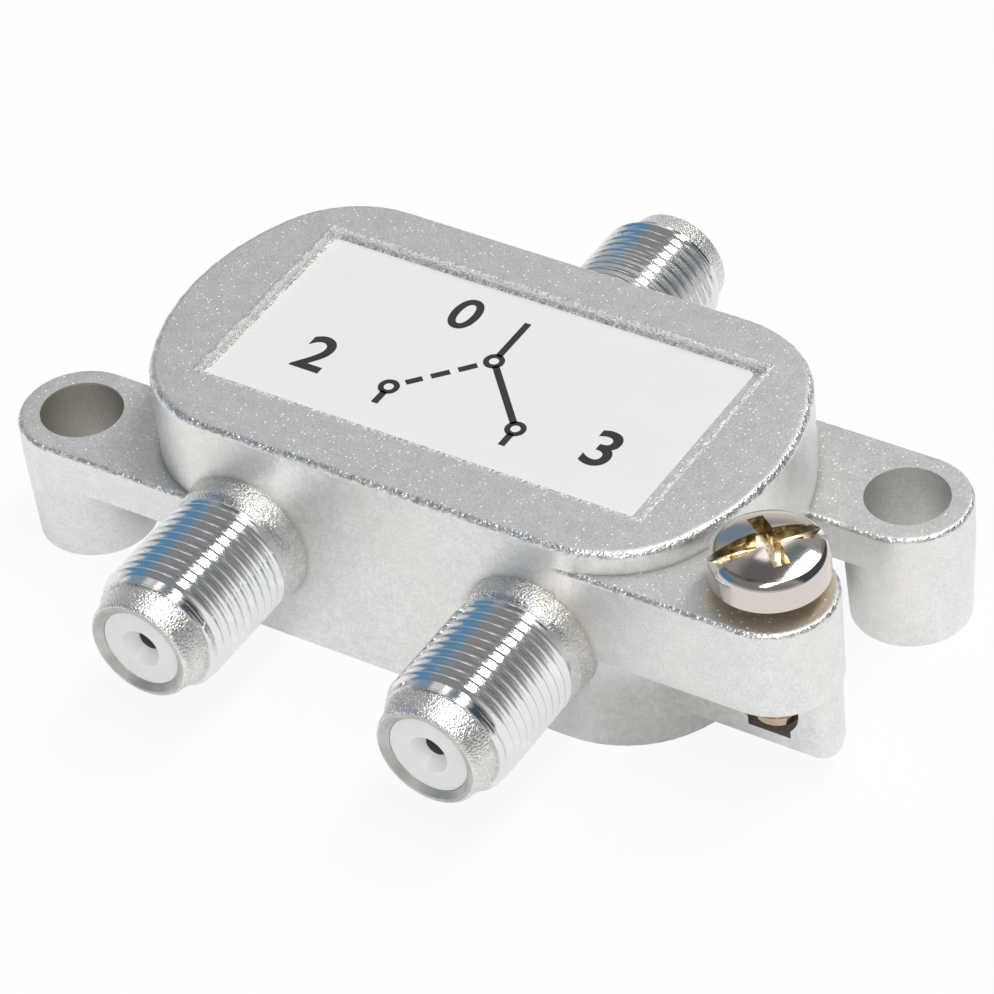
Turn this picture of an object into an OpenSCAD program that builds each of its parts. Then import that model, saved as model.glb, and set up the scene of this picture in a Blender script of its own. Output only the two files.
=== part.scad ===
// Satellite priority switch: a die-cast box with one input and two output coaxial ports.
// X runs from mounting ear to mounting ear, the outputs face -Y, and the mounting plane is z = 0.

/* [Body] */
// Length of the body between its bowed ends
body_length = 46.3; // [44:0.1:50]
// Width of the body between its front and rear walls
body_width = 26; // [25:0.5:30]
// Height of the body above the mounting plane
body_height = 16.9; // [16.5:0.1:19]
// Radius of the four corners, seen from above
corner_radius = 8.4; // [7.6:0.1:9]
// Radius of the two bowed ends, seen from above
end_radius = 18.4; // [17:0.2:21]
// Rounding of the top rim
rim_radius = 0.6; // [0.3:0.1:0.8]
// Thickness of the side walls
wall = 1.8; // [1.6:0.1:2.1]
// Thickness of the roof beside the label recess
roof = 2.2; // [1.8:0.1:2.6]

/* [Label] */
// Length of the label recess
recess_length = 34.7; // [30:0.1:36]
// Width of the label recess
recess_width = 17.2; // [15:0.1:18]
// Depth of the label recess
recess_depth = 0.8; // [0.5:0.1:1]
// Play left between the label and its recess, on each axis
label_play = 1.2; // [0.4:0.1:2]

/* [Coaxial ports] */
// Distance between the two output ports
port_spacing = 22.5; // [21:0.1:24]
// Height of the port axes above the mounting plane
port_height = 8.1; // [7.8:0.1:8.6]
// Length of a port from the wall to its rim
port_length = 13; // [11.5:0.1:14]
// Major diameter of the port thread
thread_diameter = 9.525; // [9.2:0.005:9.8]
// Diameter of the bore that holds the insulator
port_bore = 5.9; // [5.4:0.1:6.2]

/* [Mounting ears] */
// Distance of each ear hole from the middle, along X
ear_reach = 27.75; // [27:0.05:30]
// Radius of the round ear ends
ear_radius = 4.5; // [4.2:0.05:4.8]
// Height of the ears above the mounting plane
ear_height = 9.75; // [9:0.05:11]
// Thickness of the ear plate
ear_plate = 3.2; // [2.5:0.1:4]
// Diameter of the ear holes
ear_hole = 5.9; // [5:0.1:6.2]

/* [Ground terminal] */
// Distance of the screw axis from the middle, along X
lug_reach = 27.3; // [27:0.1:29]
// Height of the lug's top above the mounting plane
lug_height = 15.1; // [14.5:0.1:15.5]
// Diameter of the hole for the ground wire
wire_hole = 4.5; // [4.3:0.1:4.8]
// Thread diameter of the ground screw
screw_diameter = 4; // [3.6:0.1:4]
// Length of the screw's shank
screw_length = 12; // [11.5:0.1:12.5]
// Head diameter of the ground screw
head_diameter = 7.95; // [7.2:0.05:8]
// Gap under the screw head as it is shown, partly undone
head_gap = 1.5; // [1.2:0.1:2]

/* [Fits] */
// Radial clearance of the screw in its tapped hole
screw_clearance = 0.05; // [0.03:0.01:0.08]
// Clearance of pieces that are pushed into the housing
push_clearance = 0.03; // [0.01:0.01:0.05]
// Gap between the circuit board and the housing wall
board_gap = 0.3; // [0.2:0.05:0.5]

/* [Hidden] */
$fn = 64;

// Overrun that lets a cutter leave the solid cleanly
over = 1;

// Centres of the arcs in the body's outline
half_width = body_width / 2;
corner_y = half_width - corner_radius;
end_x = body_length / 2 - end_radius;
corner_x = end_x + sqrt(pow(end_radius - corner_radius, 2) - pow(corner_y, 2));
end_angle = atan2(corner_y, corner_x - end_x);
corner_steps = 9;
end_steps = 8;
rim_steps = 4;

// Inside of the housing and its pressed-in bottom cover
cavity_top = body_height - roof;
cover_rim = 1;
cover_sink = 0.3;
cover_thickness = 0.6;
cover_seat = cover_sink + cover_thickness;

// Recess and label on the roof
recess_y = 0.4;
recess_corner = 0.5;
label_thickness = 0.15;
label_x = -label_play / 4;

// Coaxial ports: x place and turn about Z of the input, output 1 and output 2
port_x = port_spacing / 2;
PORTS = [[0, 180], [-port_x, 0], [port_x, 0]];
collar_step = 0.06;
collar_draft = 0.14;
collar_radius = thread_diameter / 2 + collar_step;
collar_length = 1.5;
collar_sunk = wall / 2;
nose_step = 0.56;
nose_radius = thread_diameter / 2 - nose_step;
nose_taper = 0.36;
nose_length = 2;
nose_round = 0.4;
bore_radius = port_bore / 2;
mouth_edge = 0.08;
mouth_radius = nose_radius - nose_taper - nose_round - mouth_edge;
mouth_depth = 0.35;
shoulder = 1;
tail_bore = 1.6;

// Thread of a port: closed ridges at the pitch of 32 turns to the inch, the last one at the nose
thread_pitch = 25.4 / 32;
thread_depth = 0.38;
thread_end = port_length - nose_length;
crest_radius = thread_diameter / 2;
root_radius = crest_radius - thread_depth;
ridge_crest = thread_pitch / 8;
ridge_foot = ridge_crest + 2 * thread_depth * tan(30);
ridge_gaps = floor((thread_end - collar_length - ridge_foot) / thread_pitch);
first_ridge = thread_end - ridge_foot / 2 - ridge_gaps * thread_pitch;

// Insulator and the spring contact inside it
insulator_sink = 0.4;
insulator_end = port_length - insulator_sink;
funnel_radius = 1.45;
funnel_depth = 1;
throat_radius = 0.8;
throat_length = 1.75;
contact_radius = 1;
contact_bore = 0.5;
contact_play = 0.05;
contact_end = insulator_end - funnel_depth - throat_length;
slit_width = 0.3;
tail_width = 0.8;
tail_thickness = 0.4;
tail_drop = 0.8;
tail_overlap = 3.2;
tail_reach = wall + tail_overlap;

// Circuit board, held under four cast posts that bite into the walls
board_thickness = 1;
board_top = port_height - tail_drop;
post_radius = 1.6;
post_bite = 0.3;
post_reach = (corner_radius - wall - post_radius + post_bite) * cos(45);
post_x = corner_x + post_reach;
post_y = corner_y + post_reach;

// Mounting ears, a little proud of the front and rear walls
ear_proud = 0.1;
ear_y = half_width + ear_proud - ear_radius;
boss_taper = 0.3;
boss_foot = ear_radius - boss_taper;
arm_edge = 0.4;

// Ground lug: its arm, and the block below that carries the wire hole
lug_y = -ear_y;
lug_floor = port_height;
block_before = 1.3;
block_behind = 3.85;
block_beyond = 4.45;
block_front = lug_y - block_before;
block_rear = lug_y + block_behind;
block_end = lug_reach + block_beyond;
block_floor = 2.8;
block_nose = 1.1;
block_corner = block_before + block_behind - block_nose;
wire_floor = 0.9;
wire_z = block_floor + wire_floor + wire_hole / 2;

// Ground screw
screw_radius = screw_diameter / 2;
head_z = lug_height + head_gap;
head_radius = head_diameter / 2;
head_height = 3;
head_round = 1;
dome_radius = 8;
dome_z = head_height - dome_radius;
dome_edge = (head_radius - head_round) * dome_radius / (dome_radius - head_round);
round_z = dome_z + sqrt(pow(dome_radius - head_round, 2) - pow(head_radius - head_round, 2));
slot_width = 1.5;
slot_depth = 1.3;
slot_angle = 50;
cross_length = 5;
cross_width = 1.1;
cross_depth = 2;
tip_chamfer = 0.4;

// Places of the electronic pieces on the board, as [x, y, turn]
can_inset = 7.5;
CHOKES = [[-port_x, -4, 0], [port_x, -4, 0], [0, 4.5, 0]];
SUPPLY_TRANSISTORS = [[-5, -3.5, 90], [5, -3.5, 90]];
CONTROL_TRANSISTORS = [[-16, 1.5, 0], [-12, 4.5, 0], [12, 4.5, 180]];
PIN_DIODES = [[-7.5, 1, 0], [7.5, 1, 0], [-3.5, 7.5, 0], [3.5, 7.5, 0]];
ZENER_DIODES = [[-15.3, -4, 90], [15.3, -4, 90]];
CHIP_CAPACITORS = [[-7.5, -7.5, 0], [7.5, -7.5, 0], [0, -7.5, 90], [0, -4, 90], [-6, 5, 90], [6, 5, 90]];
CHIP_RESISTORS = [[-15.5, 4.5, 90], [-9, 7.5, 0], [9, 7.5, 0], [-2.4, -0.5, 90], [2.4, -0.5, 90]];
BUFFER_CAPACITOR = [[body_length / 2 - can_inset, 1.5, 0]];

// Wound chokes: ferrite drum and the wire on it
choke_radius = 2.2;
choke_height = 4.6;
choke_flange = 0.6;
choke_neck = 1;
winding_radius = 1.9;
winding_play = 0.05;

// Packages of the electronic pieces, as [length, width, height]
CAN_FOOT = [4.2, 4.2, 0.8];
can_radius = 2;
can_height = 5.2;
SUPPLY_BODY = [4.5, 2.5, 1.5];
SUPPLY_TAB = [1.7, 2, 0.4];
SUPPLY_LEAD = [0.5, 2, 0.4];
supply_lead_gap = 1.5;
CONTROL_BODY = [2.9, 1.3, 1];
CONTROL_LEAD = [0.45, 1.1, 0.15];
control_lead_gap = 0.95;
PIN_BODY = [1.7, 1.3, 1];
PIN_LEADS = [2.7, 0.6, 0.2];
ZENER_BODY = [2.7, 1.6, 1.1];
ZENER_LEADS = [3.7, 0.8, 0.2];
CAPACITOR_CHIP = [2, 1.25, 0.85];
RESISTOR_CHIP = [2, 1.25, 0.5];

// Profile of a revolved or extruded wall with its top edge rounded
module rim_profile(reach, height, edge) {
    square([reach, height - edge]);
    square([reach - edge, height]);
    translate([reach - edge, height - edge])
        circle(edge);
}

// Cross-section of a straight rib with both top edges rounded
module rim_section(half, height, edge) {
    rim_profile(half, height, edge);
    mirror([1, 0])
        rim_profile(half, height, edge);
}

// Point of a circle about a centre
function on_circle(centre, radius, angle) = centre + radius * [cos(angle), sin(angle)];

// Points of an arc about a centre, from one angle to another
function arc(centre, radius, from, to, steps) =
    [for (i = [0 : steps]) on_circle(centre, radius, from + (to - from) * i / steps)];

// Right half of the body's outline, moved inwards by inset: corner, bowed end, corner
function half_outline(inset) = concat(
    arc([corner_x, -corner_y], corner_radius - inset, -90, -end_angle, corner_steps),
    arc([end_x, 0], end_radius - inset, -end_angle, end_angle, end_steps),
    arc([corner_x, corner_y], corner_radius - inset, end_angle, 90, corner_steps)
);

// Whole outline: the right half and the same half turned round
function outline(inset) = concat(half_outline(inset), -half_outline(inset));

// Upright solid with the body's outline, moved inwards by inset
module bowed_prism(inset, height) {
    linear_extrude(height)
        polygon(outline(inset));
}

// Outside of the body, with its top rim rounded over
module rounded_body() {
    hull()
        for (step = [0 : rim_steps])
            bowed_prism(
                rim_radius * (1 - cos(90 * step / rim_steps)),
                body_height - rim_radius * (1 - sin(90 * step / rim_steps))
            );
}

// Arm with a half-round end at the origin, running back along -X
module round_arm(run, height) {
    rotate(-90)
        rotate_extrude(angle = 180)
            rim_profile(ear_radius, height, arm_edge);
    rotate([90, 0, 90])
        translate([0, 0, -run])
            linear_extrude(run)
                rim_section(ear_radius, height, arm_edge);
}

// Moves its children to port number index, with z along the port and y upwards
module at_port(index) {
    rotate(PORTS[index][1])
        translate([PORTS[index][0], -half_width, port_height])
            rotate([90, 0, 0])
                children();
}

// Moves its children to both ears
module at_ears() {
    for (turn = [0, 180])
        rotate(turn)
            translate([ear_reach, ear_y, 0])
                children();
}

// Ear plate with its tapered boss standing on the mounting plane
module ear() {
    translate([0, 0, ear_height - ear_plate])
        round_arm(ear_reach - corner_x, ear_plate);
    cylinder(h = ear_height - ear_plate, r1 = boss_foot, r2 = ear_radius);
}

// Ground lug: a rounded arm over a block that carries the wire hole
module lug() {
    translate([lug_reach, lug_y, lug_floor])
        round_arm(lug_reach - corner_x, lug_height - lug_floor);
    translate([0, 0, block_floor])
        linear_extrude(lug_floor - block_floor + arm_edge)
            block_shape();
}

// Plan of the lug's block: straight front and rear, with its free end rounded off
module block_shape() {
    translate([corner_x, block_front])
        square([block_end - block_corner - corner_x, block_rear - block_front]);
    translate([corner_x, block_front])
        square([block_end - block_nose - corner_x, block_nose]);
    translate([block_end - block_nose, block_front + block_nose])
        circle(block_nose);
    translate([block_end - block_corner, block_rear - block_corner])
        intersection() {
            circle(block_corner);
            square(block_corner);
        }
}

// Section of one thread ridge at height z, as [radius, height]
function ridge(z) = [
    [root_radius, z - ridge_foot / 2], [crest_radius, z - ridge_crest / 2],
    [crest_radius, z + ridge_crest / 2], [root_radius, z + ridge_foot / 2]
];

// Half section of the threaded part of a port
module thread_profile() {
    polygon(concat(
        [[0, 0], [root_radius, 0]],
        [for (turn = [0 : ridge_gaps]) each ridge(first_ridge + turn * thread_pitch)],
        [[0, thread_end]]
    ));
}

// Half section of a port's nose, which narrows towards its rounded rim
module nose_profile() {
    tip = nose_radius - nose_taper;
    polygon([
        [0, 0], [nose_radius, 0], [nose_radius, thread_end], [tip, port_length - nose_round],
        [tip - nose_round, port_length], [0, port_length]
    ]);
    translate([tip - nose_round, port_length - nose_round])
        circle(nose_round);
}

// Outside of a coaxial port: tapered collar, ridged thread and nose
module port_barrel() {
    translate([0, 0, -collar_sunk])
        cylinder(h = collar_length + collar_sunk, r1 = collar_radius + collar_draft, r2 = collar_radius);
    rotate_extrude()
        thread_profile();
    rotate_extrude()
        nose_profile();
}

// Stepped bore of a port with a wider mouth, open to the inside of the housing
module port_bores() {
    translate([0, 0, shoulder])
        cylinder(h = port_length, r = bore_radius);
    translate([0, 0, port_length - mouth_depth])
        cylinder(h = 2 * mouth_depth, r1 = bore_radius, r2 = 2 * mouth_radius - bore_radius);
    translate([0, 0, -wall - over])
        cylinder(h = wall + shoulder + 2 * over, r = tail_bore);
}

// Shape of the label and of its recess
module label_shape(length, width, corner) {
    for (side = [-1, 1])
        for (end = [-1, 1])
            translate([end * (length / 2 - corner), side * (width / 2 - corner)])
                circle(corner);
    square([length, width - 2 * corner], center = true);
    square([length - 2 * corner, width], center = true);
}

// Posts in the corners that the circuit board lies against
module board_posts() {
    for (end = [-1, 1])
        for (side = [-1, 1])
            translate([end * post_x, side * post_y, board_top])
                cylinder(h = cavity_top - board_top + roof / 4, r = post_radius);
}

// Everything that is taken out of the casting
module housing_cuts() {
    translate([0, 0, -over])
        bowed_prism(wall, cavity_top + over);
    translate([0, 0, -over])
        bowed_prism(cover_rim, cover_seat + over);
    translate([0, recess_y, body_height - recess_depth])
        linear_extrude(recess_depth + over)
            label_shape(recess_length, recess_width, recess_corner);
    for (index = [0 : len(PORTS) - 1])
        at_port(index)
            port_bores();
    at_ears()
        translate([0, 0, -over])
            cylinder(h = ear_height + 2 * over, d = ear_hole);
    translate([lug_reach, lug_y, wire_z - wire_hole / 2])
        cylinder(h = lug_height, r = screw_radius + screw_clearance);
    translate([lug_reach, block_front - over, wire_z])
        rotate([-90, 0, 0])
            cylinder(h = block_rear - block_front + 2 * over, d = wire_hole);
}

// One-piece casting: body, ears, ground lug and port barrels
module housing() {
    color("silver") {
        difference() {
            union() {
                rounded_body();
                at_ears()
                    ear();
                lug();
                for (index = [0 : len(PORTS) - 1])
                    at_port(index)
                        port_barrel();
            }
            housing_cuts();
        }
        board_posts();
    }
}

// Sheet cover pressed into the open underside
module bottom_cover() {
    color("gainsboro")
        translate([0, 0, cover_sink])
            bowed_prism(cover_rim + push_clearance, cover_thickness);
}

// Sticker on the floor of the recess
module label() {
    color("white")
        translate([label_x, recess_y, body_height - recess_depth])
            linear_extrude(label_thickness)
                label_shape(recess_length - label_play, recess_width - label_play / 2, recess_corner);
}

// White insulator with a funnel that leads the cable's inner conductor into the contact
module insulator(index) {
    color("whitesmoke")
        at_port(index)
            difference() {
                translate([0, 0, shoulder])
                    cylinder(h = insulator_end - shoulder, r = bore_radius - push_clearance);
                translate([0, 0, shoulder - over])
                    cylinder(h = contact_end - shoulder + over, r = contact_radius + contact_play);
                cylinder(h = port_length, r = throat_radius);
                translate([0, 0, insulator_end - funnel_depth])
                    cylinder(h = funnel_depth, r1 = throat_radius, r2 = funnel_radius);
            }
}

// Slit tube that grips the inner conductor, with a flat tail that lies on the board
module contact(index) {
    color("goldenrod")
        at_port(index) {
            difference() {
                translate([0, 0, shoulder])
                    cylinder(h = contact_end - shoulder, r = contact_radius);
                cylinder(h = port_length, r = contact_bore);
                translate([0, 0, contact_end])
                    cube([slit_width, 2 * (contact_radius + over), contact_end], center = true);
            }
            translate([-tail_width / 2, -tail_drop, -tail_reach])
                cube([tail_width, tail_thickness, tail_reach + 2 * shoulder]);
        }
}

module insulator_in() {
    insulator(0);
}

module insulator_out_1() {
    insulator(1);
}

module insulator_out_2() {
    insulator(2);
}

module contact_in() {
    contact(0);
}

module contact_out_1() {
    contact(1);
}

module contact_out_2() {
    contact(2);
}

// Board that carries the switching circuit, soldered below the contact tails
module circuit_board() {
    color("seagreen")
        translate([0, 0, board_top - board_thickness])
            bowed_prism(wall + board_gap, board_thickness);
}

// Moves its children to each place in a list, on top of the board
module on_board(places) {
    for (place = places)
        translate([place[0], place[1], board_top])
            rotate(place[2])
                children();
}

// Block of the given size, centred on its place and standing on the board
module chip(size) {
    translate([-size[0] / 2, -size[1] / 2, 0])
        cube(size);
}

// Ferrite drums of the three radio-frequency chokes
module choke_cores() {
    color("dimgray")
        on_board(CHOKES) {
            cylinder(h = choke_flange, r = choke_radius);
            cylinder(h = choke_height, r = choke_neck);
            translate([0, 0, choke_height - choke_flange])
                cylinder(h = choke_flange, r = choke_radius);
        }
}

// Enamelled wire wound on the drums
module choke_windings() {
    color("peru")
        on_board(CHOKES)
            translate([0, 0, choke_flange])
                difference() {
                    cylinder(h = choke_height - 2 * choke_flange, r = winding_radius);
                    translate([0, 0, -over])
                        cylinder(h = choke_height, r = choke_neck + winding_play);
                }
}

// Aluminium can on its square foot
module buffer_capacitor() {
    color("lightgray")
        on_board(BUFFER_CAPACITOR) {
            chip(CAN_FOOT);
            cylinder(h = can_height, r = can_radius);
        }
}

// Flat transistors with a cooling tab that pass on the receivers' supply
module supply_transistors() {
    color("darkslategray")
        on_board(SUPPLY_TRANSISTORS) {
            chip(SUPPLY_BODY);
            translate([0, SUPPLY_BODY[1] / 2, 0])
                chip(SUPPLY_TAB);
            for (lead = [-1 : 1])
                translate([lead * supply_lead_gap, -SUPPLY_BODY[1] / 2, 0])
                    chip(SUPPLY_LEAD);
        }
}

// Small three-legged transistors of the priority logic
module control_transistors() {
    color("darkslategray")
        on_board(CONTROL_TRANSISTORS) {
            chip(CONTROL_BODY);
            translate([0, CONTROL_BODY[1] / 2, 0])
                chip(CONTROL_LEAD);
            for (lead = [-1, 1])
                translate([lead * control_lead_gap, -CONTROL_BODY[1] / 2, 0])
                    chip(CONTROL_LEAD);
        }
}

// Diodes that let the radio signal through from one output at a time
module pin_diodes() {
    color("black")
        on_board(PIN_DIODES) {
            chip(PIN_BODY);
            chip(PIN_LEADS);
        }
}

// Diodes that protect the outputs and sense the receivers' voltage
module zener_diodes() {
    color("black")
        on_board(ZENER_DIODES) {
            chip(ZENER_BODY);
            chip(ZENER_LEADS);
        }
}

module chip_capacitors() {
    color("tan")
        on_board(CHIP_CAPACITORS)
            chip(CAPACITOR_CHIP);
}

module chip_resistors() {
    color("black")
        on_board(CHIP_RESISTORS)
            chip(RESISTOR_CHIP);
}

// Slot right across the head, with a cross recess in its middle
module driver_recess() {
    rotate(slot_angle) {
        translate([-head_diameter, -slot_width / 2, head_height - slot_depth])
            cube([2 * head_diameter, slot_width, slot_depth + over]);
        for (turn = [0, 90])
            rotate(turn)
                translate([-cross_length / 2, -cross_width / 2, head_height - cross_depth])
                    cube([cross_length, cross_width, cross_depth + over]);
    }
}

// Half of the pan head's section: upright side, rounded edge and domed top
module head_profile() {
    square([head_radius, round_z]);
    translate([head_radius - head_round, round_z])
        circle(head_round);
    intersection() {
        square([dome_edge, head_height]);
        translate([0, dome_z])
            circle(dome_radius);
    }
}

// Pan-head screw that clamps the ground wire
module ground_screw() {
    color("rosybrown")
        translate([lug_reach, lug_y, head_z]) {
            difference() {
                rotate_extrude()
                    head_profile();
                driver_recess();
            }
            translate([0, 0, -screw_length + tip_chamfer])
                cylinder(h = screw_length - tip_chamfer, r = screw_radius);
            translate([0, 0, -screw_length])
                cylinder(h = tip_chamfer, r1 = screw_radius - tip_chamfer, r2 = screw_radius);
        }
}

housing();
bottom_cover();
label();
insulator_in();
insulator_out_1();
insulator_out_2();
contact_in();
contact_out_1();
contact_out_2();
circuit_board();
choke_cores();
choke_windings();
buffer_capacitor();
supply_transistors();
control_transistors();
pin_diodes();
zener_diodes();
chip_capacitors();
chip_resistors();
ground_screw();
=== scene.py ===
"""Looks of a die-cast satellite priority switch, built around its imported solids."""

import logging
import math
from dataclasses import dataclass, field
from enum import Enum
from typing import Optional, Sequence, Union

import bmesh
import bpy
from mathutils import Matrix, Vector


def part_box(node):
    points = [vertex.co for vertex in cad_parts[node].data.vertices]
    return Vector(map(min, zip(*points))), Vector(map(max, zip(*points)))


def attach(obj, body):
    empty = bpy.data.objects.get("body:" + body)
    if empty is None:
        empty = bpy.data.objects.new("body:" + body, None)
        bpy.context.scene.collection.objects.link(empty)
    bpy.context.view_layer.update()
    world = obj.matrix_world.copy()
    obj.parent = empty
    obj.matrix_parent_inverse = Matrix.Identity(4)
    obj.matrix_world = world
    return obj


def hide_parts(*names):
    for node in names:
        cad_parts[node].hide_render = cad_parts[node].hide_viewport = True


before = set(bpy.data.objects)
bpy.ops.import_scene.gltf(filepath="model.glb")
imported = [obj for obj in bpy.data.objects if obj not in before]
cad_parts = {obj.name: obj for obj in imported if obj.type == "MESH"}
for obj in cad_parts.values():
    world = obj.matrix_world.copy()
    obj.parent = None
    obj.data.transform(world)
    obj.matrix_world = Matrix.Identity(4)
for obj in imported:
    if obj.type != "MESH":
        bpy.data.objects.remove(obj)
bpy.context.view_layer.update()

log = logging.getLogger("satellite_switch")

MM = 0.001
JOIN = 2e-6  # metres within which loose corners are one
THREAD_SHARP = 50.0  # degrees of a sharp edge on a thread
SCREW_AXIS = (27.3, -8.6)
BOX = "switch_box"
SCREW = "ground_screw"
Colour = tuple[float, float, float]
Value = Union[float, "Wire"]


class Wire:
    """A shader socket that takes part in Python expressions."""

    def __init__(self, graph: "Graph", socket: bpy.types.NodeSocket) -> None:
        """Keeps the socket and the graph that it belongs to."""
        self.graph = graph
        self.socket = socket

    def __add__(self, other: Value) -> "Wire":
        """Sum of this value and another."""
        return self.graph.math("ADD", self, other)

    def __sub__(self, other: Value) -> "Wire":
        """This value less another."""
        return self.graph.math("SUBTRACT", self, other)

    def __rsub__(self, other: Value) -> "Wire":
        """Another value less this one."""
        return self.graph.math("SUBTRACT", other, self)

    def __mul__(self, other: Value) -> "Wire":
        """Product of this value and another."""
        return self.graph.math("MULTIPLY", self, other)

    def __abs__(self) -> "Wire":
        """Size of this value without its sign."""
        return self.graph.math("ABSOLUTE", self)

    def least(self, other: Value) -> "Wire":
        """Smaller of this value and another."""
        return self.graph.math("MINIMUM", self, other)

    def most(self, other: Value) -> "Wire":
        """Larger of this value and another."""
        return self.graph.math("MAXIMUM", self, other)

    def rise(self, low: float, high: float) -> "Wire":
        """Smooth step from 0 at low to 1 at high."""
        return self.graph.node(
            "ShaderNodeMapRange",
            {"interpolation_type": "SMOOTHSTEP"},
            {"Value": self, "From Min": low, "From Max": high},
        )

    def span(self, low: float, high: float) -> "Wire":
        """This value from 0 to 1, spread between low and high."""
        return self.graph.node("ShaderNodeMapRange", {}, {"Value": self, "To Min": low, "To Max": high})


class Graph:
    """A node tree of a material or of the world, written as expressions."""

    def __init__(self, owner: Union[bpy.types.Material, bpy.types.World]) -> None:
        """Empties the owner's node tree.

        Args:
            owner: material or world that the nodes belong to.
        """
        owner.use_nodes = True
        self.tree = owner.node_tree
        self.tree.nodes.clear()

    def node(
        self,
        kind: str,
        settings: Optional[dict[str, object]] = None,
        inputs: Optional[dict[Union[str, int], object]] = None,
        out: Union[str, int] = 0,
    ) -> Wire:
        """Adds a node.

        Args:
            kind: the node's type.
            settings: properties that are set first.
            inputs: values or wires of its sockets.
            out: name or number of the output that is wanted.

        Returns:
            The wanted output.
        """
        node = self.tree.nodes.new(kind)
        for name, setting in (settings or {}).items():
            setattr(node, name, setting)
        for name, value in (inputs or {}).items():
            if isinstance(value, Wire):
                self.tree.links.new(value.socket, node.inputs[name])
            elif isinstance(value, tuple) and node.inputs[name].type == "RGBA":
                node.inputs[name].default_value = (*value, 1.0)
            else:
                node.inputs[name].default_value = value
        return Wire(self, node.outputs[out]) if node.outputs else Wire(self, node.inputs[0])

    def math(self, operation: str, *values: Value) -> Wire:
        """Adds a Math node.

        Args:
            operation: the node's operation.
            values: its operands.

        Returns:
            The result.
        """
        return self.node("ShaderNodeMath", {"operation": operation}, dict(enumerate(values)))

    def blend(self, first: Union[Colour, Wire], second: Union[Colour, Wire], share: Value) -> Wire:
        """Mixes two colours.

        Args:
            first: colour where share is 0.
            second: colour where share is 1.
            share: the second colour's part.

        Returns:
            The mixed colour.
        """
        return self.node("ShaderNodeMix", {"data_type": "RGBA"}, {0: share, 6: first, 7: second}, 2)

    def place(self) -> Wire:
        """Place on the piece, in millimetres."""
        here = self.node("ShaderNodeTexCoord", out="Object")
        return self.node("ShaderNodeVectorMath", {"operation": "SCALE"}, {0: here, "Scale": 1 / MM})

    def axes(self, vector: Wire) -> tuple[Wire, Wire, Wire]:
        """The x, y and z parts of a vector."""
        parts = self.node("ShaderNodeSeparateXYZ", {}, {0: vector}).socket.node.outputs
        return Wire(self, parts[0]), Wire(self, parts[1]), Wire(self, parts[2])

    def reach(self, place: Wire, middle: Sequence[float] = (0.0, 0.0)) -> Wire:
        """Distance from an upright axis.

        Args:
            place: where it is read.
            middle: the axis as x and y, in the same unit.

        Returns:
            The distance.
        """
        x, y, _ = self.axes(place)
        x, y = x - middle[0], y - middle[1]
        return self.math("SQRT", x * x + y * y)

    def noise(self, place: Wire, scale: float, detail: float, rough: float = 0.5) -> Wire:
        """Soft noise.

        Args:
            place: where it is read, in millimetres.
            scale: spots in each millimetre.
            detail: finer layers.
            rough: strength of the finer layers.

        Returns:
            A value about 0.5.
        """
        inputs = {"Vector": place, "Scale": scale, "Detail": detail, "Roughness": rough}
        return self.node("ShaderNodeTexNoise", {}, inputs)

    def cells(self, place: Wire, scale: float, out: Union[str, int] = "Distance") -> Wire:
        """Cell pattern.

        Args:
            place: where it is read, in millimetres.
            scale: cells in each millimetre.
            out: Distance to the cell's middle, or the cell's own Color.

        Returns:
            The wanted output.
        """
        return self.node("ShaderNodeTexVoronoi", {}, {"Vector": place, "Scale": scale}, out)

    def bump(self, height: Value, depth: float, strength: float) -> Wire:
        """Normal of a relief.

        Args:
            height: the relief, from 0 to 1.
            depth: depth of the relief in millimetres.
            strength: share of the relief that shows.

        Returns:
            The normal.
        """
        inputs = {"Height": height, "Distance": depth * MM, "Strength": strength}
        return self.node("ShaderNodeBump", {}, inputs)

    def surface(self, **sockets: object) -> None:
        """Ends a material in a principled shader.

        Args:
            sockets: values or wires, with _ for each space in a socket's name.
        """
        inputs = {name.replace("_", " "): value for name, value in sockets.items()}
        shader = self.node("ShaderNodeBsdfPrincipled", {}, inputs)
        self.finish(shader)

    def finish(self, shader: Wire) -> None:
        """Joins a shader to the tree's output.

        Args:
            shader: the last shader of the tree.
        """
        whole = shader.socket.node.type == "BACKGROUND"
        kind = "ShaderNodeOutputWorld" if whole else "ShaderNodeOutputMaterial"
        self.node(kind, {}, {"Surface": shader})


def new_graph(name: str) -> tuple[bpy.types.Material, Graph]:
    """Makes an empty material.

    Args:
        name: the material's name.

    Returns:
        The material and its graph.
    """
    material = bpy.data.materials.new(name)
    return material, Graph(material)


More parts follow.
